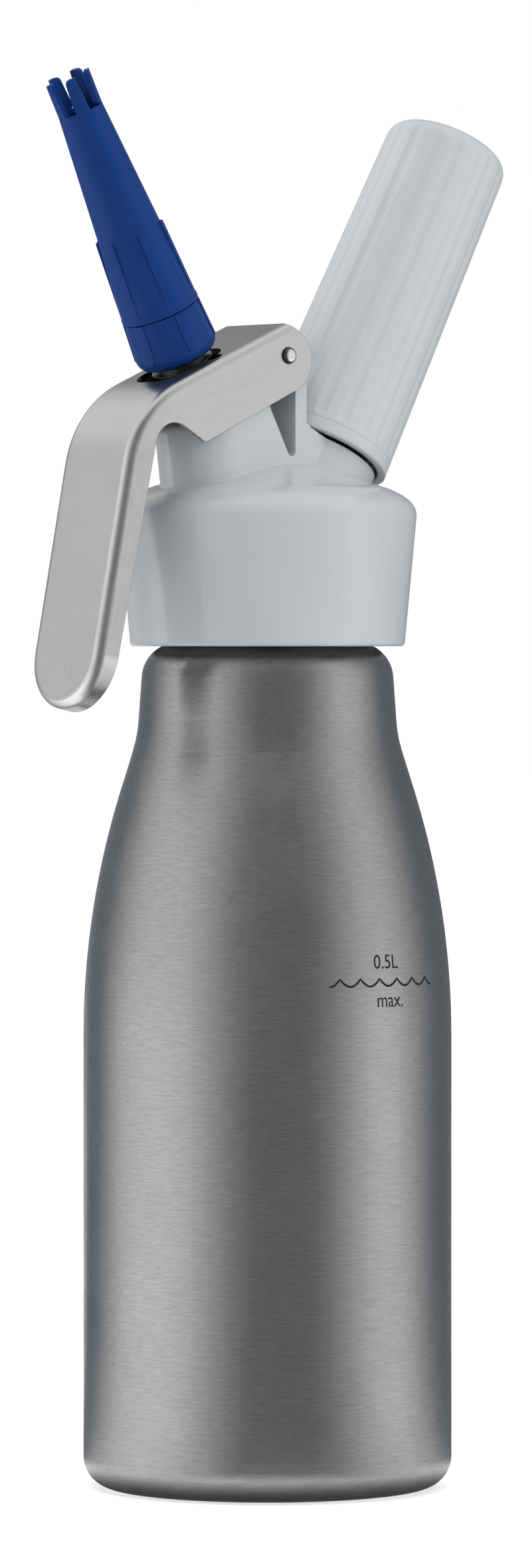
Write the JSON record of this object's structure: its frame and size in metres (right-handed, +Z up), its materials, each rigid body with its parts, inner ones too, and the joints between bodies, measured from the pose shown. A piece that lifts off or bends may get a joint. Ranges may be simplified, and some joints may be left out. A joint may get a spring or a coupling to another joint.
{
  "type": "whipped cream dispenser",
  "caption": "Steel bottle with a screw-on grey head, squeeze lever with valve stem, blue ribbed decorator nozzle and a fluted screw-on charger holder.",
  "frame": {"origin": "middle of the bottle's flat base, on the surface it stands on", "axes": "+Z up along the bottle's axis; the lever's handle is on the -X side, the charger holder leans to +X, and the hinge pin lies along Y"},
  "size_m": [0.1202, 0.08, 0.3064],
  "materials": {
    "bottle_steel": "circumferentially brushed stainless",
    "lever_steel": "brushed stainless, lighter than the bottle",
    "pin_steel": "polished stainless",
    "valve_steel": "turned stainless",
    "spring_steel": "drawn spring wire",
    "head_plastic": "light grey gloss moulding",
    "holder_plastic": "light grey satin moulding",
    "nozzle_plastic": "royal blue satin moulding",
    "adapter_plastic": "royal blue satin moulding",
    "bush_plastic": "white acetal",
    "seal_rubber": "black rubber",
    "gasket_silicone": "pale silicone",
    "charger_steel": "plain steel bulb",
    "brass": "turned brass"
  },
  "bodies": {
    "bottle": {"bottle": "bottle_steel"},
    "gasket": {"neck_gasket": "gasket_silicone"},
    "head": {"head_body": "head_plastic", "hinge_pin": "pin_steel", "guide_bush": "bush_plastic", "valve_spring": "spring_steel", "charger_port_stud": "valve_steel", "gas_filter": "brass", "piercing_pin": "valve_steel", "port_seal": "seal_rubber", "gas_check_valve": "gasket_silicone"},
    "lever": {"lever": "lever_steel"},
    "stem": {"valve_stem": "valve_steel", "stem_seal_lower": "seal_rubber", "stem_seal_upper": "seal_rubber", "poppet_seal": "seal_rubber", "press_washer": "pin_steel", "stem_circlip": "spring_steel"},
    "adapter": {"nozzle_adapter": "adapter_plastic", "nozzle_seal": "seal_rubber"},
    "nozzle": {"decorator_nozzle": "nozzle_plastic"},
    "charger": {"gas_charger": "charger_steel"},
    "holder": {"charger_holder": "holder_plastic", "holder_pad": "seal_rubber"}
  },
  "joints": [
    {"name": "head_lift", "type": "slide", "parent": "bottle", "child": "gasket", "axis": [0, 0, 1], "range_m": [0, 0.03]},
    {"name": "head_turn", "type": "hinge", "parent": "gasket", "child": "head", "pos_m": [0, 0, 0.2], "axis": [0, 0, 1], "continuous": true},
    {"name": "lever_press", "type": "hinge", "parent": "head", "child": "lever", "pos_m": [-0.00335, 0, 0.24545], "axis": [0, -1, 0], "range_deg": [0, 8], "stiffness_Nm_per_rad": 0.8, "springref_deg": -11.46},
    {"name": "stem_travel", "type": "slide", "parent": "head", "child": "stem", "axis": [0.4509, 0, -0.8926], "range_m": [0, 0.0026], "deforming": ["valve_spring"]},
    {"name": "adapter_turn", "type": "hinge", "parent": "stem", "child": "adapter", "pos_m": [-0.0286, 0, 0.2541], "axis": [-0.4509, 0, 0.8926], "continuous": true},
    {"name": "nozzle_lift", "type": "slide", "parent": "adapter", "child": "nozzle", "axis": [-0.4509, 0, 0.8926], "range_m": [0, 0.02]},
    {"name": "charger_lift", "type": "slide", "parent": "head", "child": "charger", "axis": [0.4679, 0, 0.8838], "range_m": [0, 0.03]},
    {"name": "holder_turn", "type": "hinge", "parent": "charger", "child": "holder", "pos_m": [0.0281, 0, 0.25047], "axis": [0.4679, 0, 0.8838], "continuous": true}
  ],
  "couplings": [
    {"joint": "stem_travel", "follows": "lever_press", "m_per_rad": 0.0176}
  ]
}
